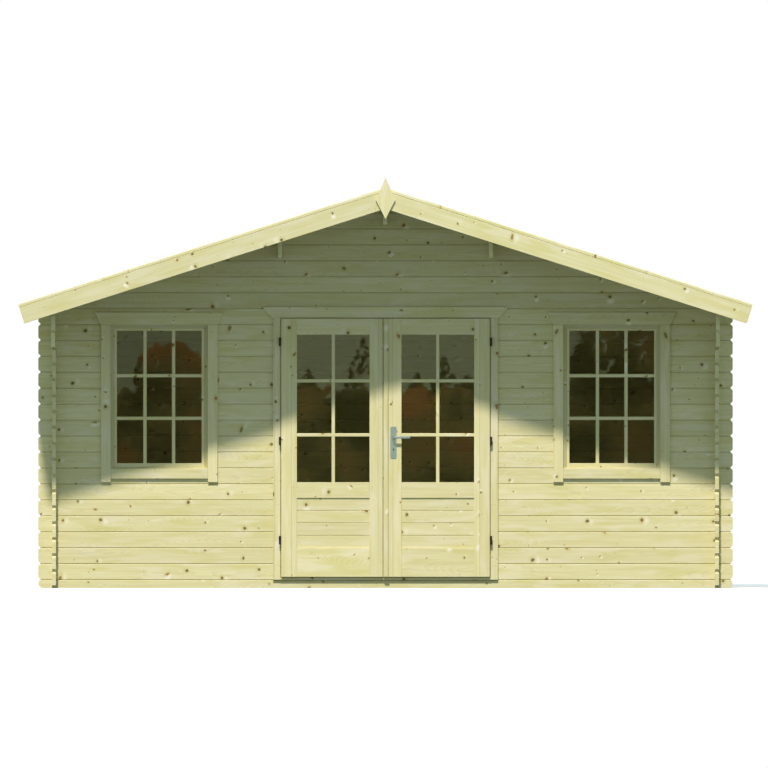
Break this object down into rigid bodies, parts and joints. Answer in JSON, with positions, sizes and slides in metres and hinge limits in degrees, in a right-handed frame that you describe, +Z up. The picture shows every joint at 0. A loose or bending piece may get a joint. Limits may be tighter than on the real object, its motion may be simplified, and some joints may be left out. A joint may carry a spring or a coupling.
{
  "type": "log cabin",
  "caption": "Free-standing log cabin: interlocking log walls, pitched board roof running out as a canopy, glazed double door and two windows.",
  "frame": {"origin": "on the ground, in the middle of the whole outline", "axes": "+Z up; the front with the doors looks along -Y; +X to the right as seen from the front"},
  "size_m": [5.266, 5.12, 2.95],
  "materials": {
    "log_pine": "planed pine, pale yellow-green from pressure treatment",
    "joinery_pine": "planed pine, pale yellow-green",
    "roof_boards": "planed pine boards, bare",
    "floor_wood": "planed pine boards",
    "glass": "clear float glass",
    "hinge_steel": "dark, satin",
    "handle_steel": "satin"
  },
  "bodies": {
    "cabin": {"door_frame": "joinery_pine", "door_threshold": "joinery_pine", "door_trim_inside": "joinery_pine", "door_trim_outside": "joinery_pine", "eaves_battens": "joinery_pine", "floor_bearers": "floor_wood", "floor_deck": "floor_wood", "front_bargeboards": "joinery_pine", "front_gable_logs": "log_pine", "front_sill_log": "log_pine", "front_wall_left_logs": "log_pine", "front_wall_right_logs": "log_pine", "gable_finial": "joinery_pine", "left_canopy_logs": "log_pine", "left_frame_hinges": "hinge_steel", "left_roof_deck": "roof_boards", "left_wall_logs": "log_pine", "left_window_frame": "joinery_pine", "left_window_glass": "glass", "left_window_sash": "joinery_pine", "left_window_trim_outside": "joinery_pine", "rear_bargeboards": "joinery_pine", "rear_gable_logs": "log_pine", "rear_wall_logs": "log_pine", "ridge_purlin": "joinery_pine", "right_canopy_logs": "log_pine", "right_frame_hinges": "hinge_steel", "right_roof_deck": "roof_boards", "right_wall_logs": "log_pine", "right_window_frame": "joinery_pine", "right_window_glass": "glass", "right_window_sash": "joinery_pine", "right_window_trim_outside": "joinery_pine", "side_purlins": "joinery_pine", "window_trims_inside": "joinery_pine"},
    "left_leaf": {"left_leaf_frame": "joinery_pine", "left_leaf_panel": "joinery_pine", "left_leaf_glass": "glass", "left_leaf_hinges": "hinge_steel"},
    "right_leaf": {"right_leaf_frame": "joinery_pine", "right_leaf_panel": "joinery_pine", "right_leaf_glass": "glass", "right_leaf_hinges": "hinge_steel", "meeting_strip": "joinery_pine", "lock_plates": "handle_steel"},
    "lever": {"door_lever": "handle_steel"}
  },
  "joints": [
    {"name": "right_door_hinge", "type": "hinge", "parent": "cabin", "child": "right_leaf", "pos_m": [0.76, -1.493, 1], "axis": [0, 0, 1], "range_deg": [0, 110]},
    {"name": "left_door_hinge", "type": "hinge", "parent": "cabin", "child": "left_leaf", "pos_m": [-0.76, -1.493, 1], "axis": [0, 0, -1], "range_deg": [0, 110]},
    {"name": "lever_turn", "type": "hinge", "parent": "right_leaf", "child": "lever", "pos_m": [0.057, -1.461, 1.084], "axis": [0, 1, 0], "range_deg": [0, 45], "stiffness_Nm_per_rad": 2, "springref_deg": -17.19}
  ]
}
